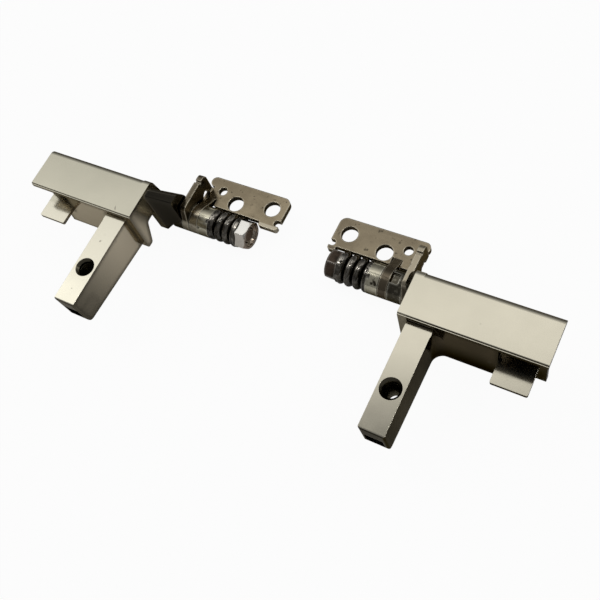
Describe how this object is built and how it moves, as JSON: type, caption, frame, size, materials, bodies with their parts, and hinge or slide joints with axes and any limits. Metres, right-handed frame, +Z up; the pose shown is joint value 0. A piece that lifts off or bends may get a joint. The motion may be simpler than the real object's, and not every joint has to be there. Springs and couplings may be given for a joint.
{
  "type": "laptop hinge pair",
  "caption": "Left and right friction hinges: a cast arm with a channel-shaped cover and a tapped leg, and a stamped screw leaf that turns on a sprung barrel.",
  "frame": {"origin": "midway between the two tapped leg holes, on the legs' seat faces", "axes": "+X along the pivots towards the right hinge, +Y from the legs towards the leaves, +Z up out of the seat faces"},
  "size_m": [0.0908, 0.0339, 0.0145],
  "materials": {
    "cast_plating": "satin nickel plating on a zinc casting",
    "leaf_plating": "satin plated sheet steel",
    "barrel_steel": "polished steel with a film of grease",
    "spring_steel": "oiled dark spring steel",
    "nut_plating": "bright nickel plating"
  },
  "bodies": {
    "arms": {"left_arm": "cast_plating", "left_pivot_shaft": "barrel_steel", "left_friction_ring": "barrel_steel", "left_seat_washer": "spring_steel", "left_end_washer": "spring_steel", "left_lock_nut": "nut_plating", "left_thrust_washer": "barrel_steel", "left_disc_spring_1": "spring_steel", "left_disc_spring_2": "spring_steel", "left_disc_spring_3": "spring_steel", "left_disc_spring_4": "spring_steel", "left_disc_spring_5": "spring_steel", "left_disc_spring_6": "spring_steel", "right_arm": "cast_plating", "right_pivot_shaft": "barrel_steel", "right_friction_ring": "barrel_steel", "right_seat_washer": "spring_steel", "right_end_washer": "spring_steel", "right_lock_nut": "nut_plating", "right_stop_collar": "barrel_steel", "right_disc_spring_1": "spring_steel", "right_disc_spring_2": "spring_steel", "right_disc_spring_3": "spring_steel", "right_disc_spring_4": "spring_steel", "right_disc_spring_5": "spring_steel", "right_disc_spring_6": "spring_steel"},
    "left_leaf": {"left_leaf_bracket": "leaf_plating"},
    "right_leaf": {"right_leaf_bracket": "leaf_plating"}
  },
  "joints": [
    {"name": "left_leaf_turn", "type": "hinge", "parent": "arms", "child": "left_leaf", "pos_m": [-0.02085, 0.01867, -0.01035], "axis": [-1, 0, 0], "range_deg": [0, 180]},
    {"name": "right_leaf_turn", "type": "hinge", "parent": "arms", "child": "right_leaf", "pos_m": [0.02085, 0.01867, -0.01035], "axis": [-1, 0, 0], "range_deg": [0, 180]}
  ]
}
